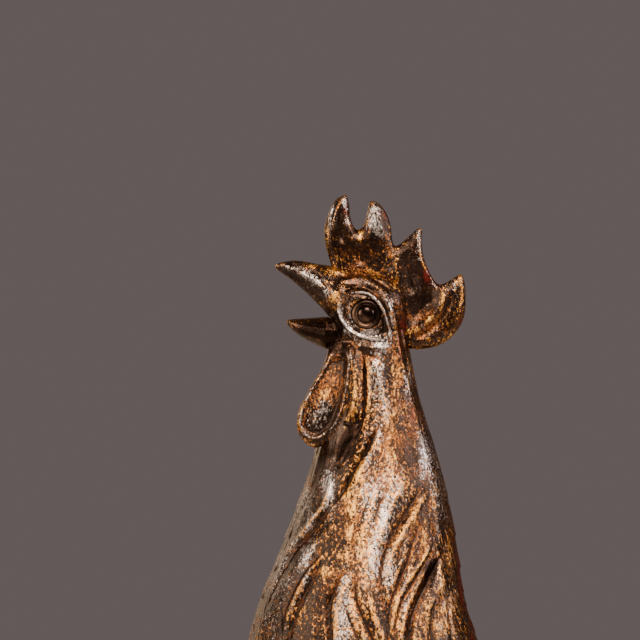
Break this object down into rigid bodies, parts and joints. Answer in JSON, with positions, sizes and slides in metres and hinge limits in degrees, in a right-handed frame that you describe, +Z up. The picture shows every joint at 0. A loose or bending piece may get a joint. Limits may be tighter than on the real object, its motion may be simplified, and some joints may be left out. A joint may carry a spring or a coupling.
{
  "type": "bronze rooster figure",
  "caption": "Standing bronze cockerel with open beak, spiked comb, wattles, long flowing neck and arched tail feathers, on an oval base.",
  "frame": {"origin": "middle of the felt's underside, on the surface that the figure stands on", "axes": "+Z up, -Y the way the bird faces, +X the bird's left side"},
  "size_m": [0.142, 0.3677, 0.5102],
  "materials": {
    "bronze": "dark brown patina with worn gilding",
    "bronze_pin": "chased flush and patinated",
    "steel": "plain zinc-grey fasteners",
    "felt": "dark green wool felt"
  },
  "bodies": {
    "root": {"base_plate": "bronze", "body": "bronze", "comb": "bronze", "comb_pin_front": "bronze_pin", "comb_pin_rear": "bronze_pin", "felt_pad": "felt", "head_and_neck": "bronze", "jaw_pin": "bronze_pin", "left_eye": "bronze", "left_leg": "bronze", "left_leg_bolt": "steel", "left_leg_washer": "steel", "left_long_covert": "bronze", "left_main_sickle": "bronze", "left_second_sickle": "bronze", "left_short_covert": "bronze", "left_thigh_pin": "bronze_pin", "left_third_sickle": "bronze", "left_wattle": "bronze", "left_wing": "bronze", "left_wing_screw_front": "bronze_pin", "left_wing_screw_rear": "bronze_pin", "lower_beak": "bronze", "neck_pin_back": "bronze_pin", "neck_pin_left": "bronze_pin", "neck_pin_right": "bronze_pin", "right_eye": "bronze", "right_leg": "bronze", "right_leg_bolt": "steel", "right_leg_washer": "steel", "right_long_covert": "bronze", "right_main_sickle": "bronze", "right_second_sickle": "bronze", "right_short_covert": "bronze", "right_thigh_pin": "bronze_pin", "right_third_sickle": "bronze", "right_wattle": "bronze", "right_wing": "bronze", "right_wing_screw_front": "bronze_pin", "right_wing_screw_rear": "bronze_pin", "tail_pin_left": "bronze_pin", "tail_pin_right": "bronze_pin", "tail_root": "bronze", "top_feather": "bronze"}
  },
  "joints": []
}
